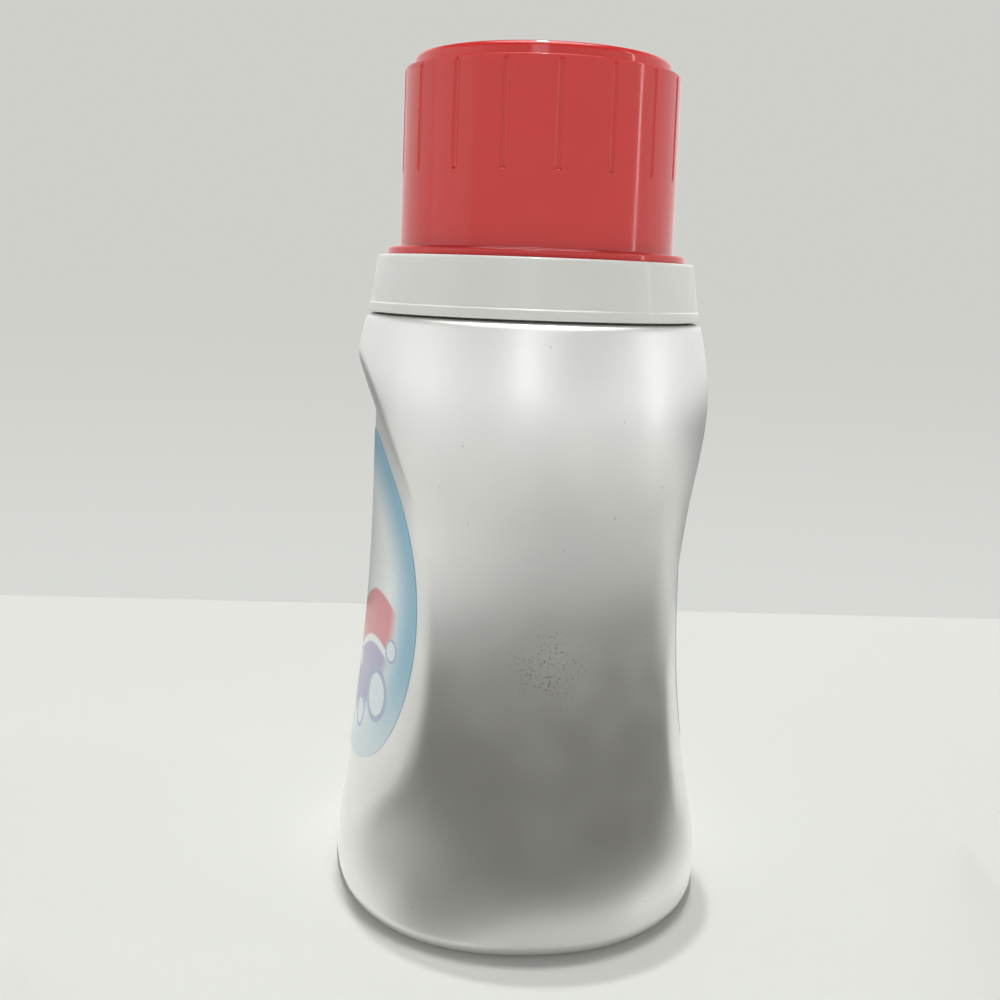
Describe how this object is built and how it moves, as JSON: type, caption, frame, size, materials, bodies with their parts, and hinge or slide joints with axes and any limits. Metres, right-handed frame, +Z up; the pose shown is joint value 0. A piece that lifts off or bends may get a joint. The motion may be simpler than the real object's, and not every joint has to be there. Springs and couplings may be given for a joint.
{
  "type": "laundry detergent bottle",
  "caption": "Waisted white liquid detergent bottle with front and back label panels, a clip-on pouring collar and a red screw-in dosing cap that lifts off.",
  "frame": {"origin": "middle of the surface that the bottle stands on", "axes": "+Z up, X across the label, the front label faces -Y"},
  "size_m": [0.1139, 0.0935, 0.2055],
  "materials": {
    "bottle_plastic": "pearl white, satin",
    "collar_plastic": "off-white, smooth",
    "cap_plastic": "coral red, glossy",
    "front_label_film": "printed film",
    "back_label_film": "printed film"
  },
  "bodies": {
    "bottle": {"bottle": "bottle_plastic", "pour_collar": "collar_plastic", "front_label": "front_label_film", "back_label": "back_label_film"},
    "cap": {"dosing_cap": "cap_plastic"}
  },
  "joints": [
    {"name": "cap_lift", "type": "slide", "parent": "bottle", "child": "cap", "axis": [0, 0, 1], "range_m": [0, 0.06]}
  ]
}
